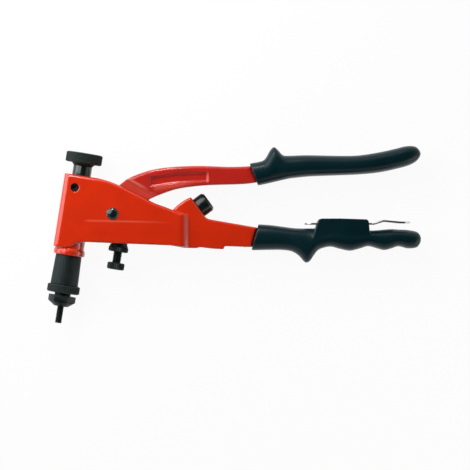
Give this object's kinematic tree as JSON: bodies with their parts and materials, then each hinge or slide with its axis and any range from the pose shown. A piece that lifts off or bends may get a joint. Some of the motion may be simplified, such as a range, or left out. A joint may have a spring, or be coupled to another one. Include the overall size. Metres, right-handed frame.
{
  "type": "rivet nut tool",
  "caption": "Hand tool that sets rivet nuts: a nose with a threaded mandrel and lock ring, a cheeked head with a spin knob, a hinged lever, a stroke stop and two gripped handles.",
  "frame": {"origin": "middle of the nosepiece's end face, on the nose axis", "axes": "+X along the handles, +Y along the nose axis towards the knob, +Z across the cheeks; the tool lies on its side"},
  "size_m": [0.2619, 0.1656, 0.0265],
  "materials": {
    "red_casting": "gloss",
    "red_lever": "gloss",
    "black_grip": "satin",
    "black_steel": "satin",
    "bright_steel": "satin",
    "zinc_steel": "satin",
    "bronze": "satin",
    "black_rubber": "matte"
  },
  "bodies": {
    "frame": {"body_casting": "red_casting", "lower_grip": "black_grip", "nose_sleeve": "black_steel", "pivot_pin": "black_steel", "pivot_circlip": "black_steel", "guide_bush": "bronze", "guide_screw": "black_steel", "stop_buffer": "black_rubber", "buffer_stud": "bright_steel", "stop_insert": "black_steel"},
    "lever": {"lever": "red_lever", "lever_bush": "bronze", "upper_grip": "black_grip"},
    "draw": {"draw_sleeve": "black_steel", "upper_thrust_washer": "bronze", "lower_thrust_washer": "bronze"},
    "spindle": {"spindle": "bright_steel", "knob": "black_steel", "knob_screw": "bright_steel", "mandrel_chuck": "bright_steel", "mandrel": "black_steel"},
    "nosepiece": {"nosepiece": "black_steel"},
    "lock_ring": {"nose_lock_ring": "black_steel"},
    "stroke_stud": {"stroke_stud": "black_steel"},
    "stroke_knob": {"stroke_knob": "black_steel"},
    "stop_washer": {"stop_washer": "black_steel"},
    "stop_nut": {"stop_lock_nut": "black_steel"},
    "wrench": {"wrench": "zinc_steel"}
  },
  "joints": [
    {"name": "lever_swing", "type": "hinge", "parent": "frame", "child": "lever", "pos_m": [0.027, 0.0715, 0], "axis": [0, 0, 1], "range_deg": [0, 14]},
    {"name": "draw_slide", "type": "slide", "parent": "frame", "child": "draw", "axis": [0, -1, 0], "range_m": [0, 0.0067]},
    {"name": "spindle_spin", "type": "hinge", "parent": "draw", "child": "spindle", "pos_m": [0, 0.1, 0], "axis": [0, 1, 0], "continuous": true},
    {"name": "nosepiece_turn", "type": "hinge", "parent": "frame", "child": "nosepiece", "pos_m": [0, 0.01, 0], "axis": [0, 1, 0], "range_deg": [-180, 180]},
    {"name": "lock_ring_turn", "type": "hinge", "parent": "frame", "child": "lock_ring", "pos_m": [0, 0.0125, 0], "axis": [0, 1, 0], "range_deg": [-180, 180]},
    {"name": "stroke_travel", "type": "slide", "parent": "frame", "child": "stroke_stud", "axis": [0, 1, 0], "range_m": [-0.006, 0]},
    {"name": "stroke_turn", "type": "hinge", "parent": "stroke_stud", "child": "stroke_knob", "pos_m": [0.0346, 0.0345, 0], "axis": [0, 1, 0], "range_deg": [-2165, 0]},
    {"name": "stop_washer_travel", "type": "slide", "parent": "frame", "child": "stop_washer", "axis": [0, 1, 0], "range_m": [-0.002, 0]},
    {"name": "stop_nut_turn", "type": "hinge", "parent": "stop_washer", "child": "stop_nut", "pos_m": [0.0346, 0.047, 0], "axis": [0, 1, 0], "range_deg": [-725, 0]},
    {"name": "wrench_slide", "type": "slide", "parent": "frame", "child": "wrench", "axis": [0.9877, 0.1564, 0], "range_m": [0, 0.04]}
  ],
  "couplings": [
    {"joint": "draw_slide", "follows": "lever_swing", "m_per_rad": 0.026933},
    {"joint": "stroke_turn", "follows": "stroke_travel", "rad_per_m": 6283.2},
    {"joint": "stop_nut_turn", "follows": "stop_washer_travel", "rad_per_m": 6283.2}
  ]
}
